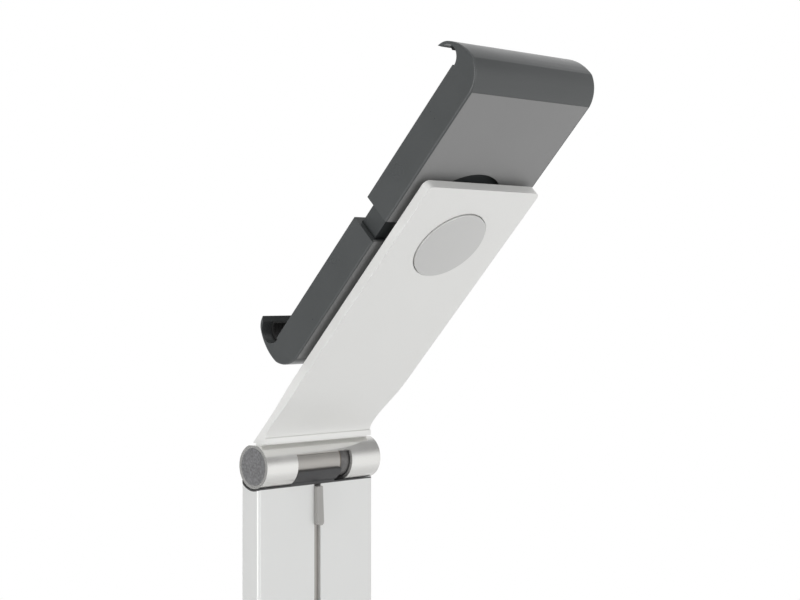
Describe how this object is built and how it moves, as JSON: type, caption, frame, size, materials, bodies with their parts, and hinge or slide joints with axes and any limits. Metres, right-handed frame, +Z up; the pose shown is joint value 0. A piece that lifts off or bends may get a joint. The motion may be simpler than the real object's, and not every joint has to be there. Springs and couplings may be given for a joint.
{
  "type": "adjustable tablet floor stand",
  "caption": "Floor stand for a tablet: square base, flat slotted pole, tilting arm, and a swivelling holder whose two hooked jaws grip the tablet's edges.",
  "frame": {"origin": "middle of the underside of the base's mat, on the floor", "axes": "+Z up along the pole, -Y towards the person who uses the tablet, +Y the way the arm leans, X along the hinge"},
  "size_m": [0.3, 0.3027, 1.2335],
  "materials": {
    "mat_rubber": "matt, finely ribbed",
    "base_paint": "satin powder coat",
    "pole_metal": "satin anodised",
    "arm_paint": "satin silver-white paint",
    "cap_plastic": "dark grey, fine grain",
    "clip_plastic": "mid grey, smooth",
    "plug_plastic": "black, plain",
    "knuckle_metal": "satin, slightly warm grey",
    "bush_bronze": "plain bearing bronze",
    "hub_metal": "turned",
    "friction_plastic": "friction lining",
    "spring_steel": "blued",
    "screw_steel": "zinc plated",
    "black_screw": "black oxide",
    "turntable_metal": "turned, dark anodised",
    "slip_plastic": "low-friction plastic",
    "rail_plastic": "dark grey, fine grain",
    "gear_plastic": "natural acetal",
    "jaw_plastic": "dark grey, satin",
    "panel_plastic": "mid-dark grey, satin",
    "lining_rubber": "matt black",
    "insert_brass": "turned, knurled"
  },
  "bodies": {
    "stand": {"base_mat": "mat_rubber", "base_plate": "base_paint", "base_screws": "screw_steel", "pole_plugs": "plug_plastic", "plug_screws": "screw_steel", "pole": "pole_metal", "cable_clips": "clip_plastic", "hinge_bracket": "knuckle_metal", "bracket_screws": "screw_steel", "axle_bushes": "bush_bronze", "pole_cap": "cap_plastic"},
    "arm": {"hinge_barrel": "arm_paint", "barrel_hubs": "hub_metal", "hub_screws": "black_screw", "friction_washers": "friction_plastic", "disc_springs": "spring_steel", "hinge_axle": "screw_steel", "axle_nut": "screw_steel", "barrel_end_caps": "cap_plastic", "arm_plate": "arm_paint", "arm_screws": "screw_steel", "arm_disc": "arm_paint"},
    "holder": {"pivot_retainer": "turntable_metal", "pivot_washer": "slip_plastic", "turntable": "turntable_metal", "pivot_screws": "screw_steel", "slide_rail": "rail_plastic", "rail_cover": "rail_plastic", "cover_screws": "black_screw", "pinion_pin": "screw_steel"},
    "pinion": {"pinion": "gear_plastic"},
    "upper_jaw": {"upper_jaw": "jaw_plastic", "upper_rear_panel": "panel_plastic", "upper_lining": "lining_rubber", "upper_rack": "gear_plastic", "upper_rack_screws": "black_screw"},
    "lower_jaw": {"lower_jaw": "jaw_plastic", "lower_rear_panel": "panel_plastic", "lower_lining": "lining_rubber", "lower_rack": "gear_plastic", "lower_rack_screws": "black_screw", "lock_insert": "insert_brass", "lock_screw": "black_screw"}
  },
  "joints": [
    {"name": "head_tilt", "type": "hinge", "parent": "stand", "child": "arm", "pos_m": [0, 0.00235, 1.04], "axis": [1, 0, 0], "range_deg": [-30, 44.4]},
    {"name": "holder_swivel", "type": "hinge", "parent": "arm", "child": "holder", "pos_m": [0, 0.10338, 1.14317], "axis": [0, -0.7145, 0.6997], "continuous": true},
    {"name": "upper_jaw_slide", "type": "slide", "parent": "holder", "child": "upper_jaw", "axis": [0, 0.6997, 0.7145], "range_m": [-0.0056, 0.026]},
    {"name": "lower_jaw_slide", "type": "slide", "parent": "holder", "child": "lower_jaw", "axis": [0, -0.6997, -0.7145], "range_m": [-0.0056, 0.026]},
    {"name": "pinion_spin", "type": "hinge", "parent": "holder", "child": "pinion", "pos_m": [0, 0.10338, 1.14317], "axis": [0, -0.7145, 0.6997], "range_deg": [-33, 150]}
  ],
  "couplings": [
    {"joint": "lower_jaw_slide", "follows": "upper_jaw_slide", "ratio": 1},
    {"joint": "pinion_spin", "follows": "upper_jaw_slide", "rad_per_m": 100}
  ]
}
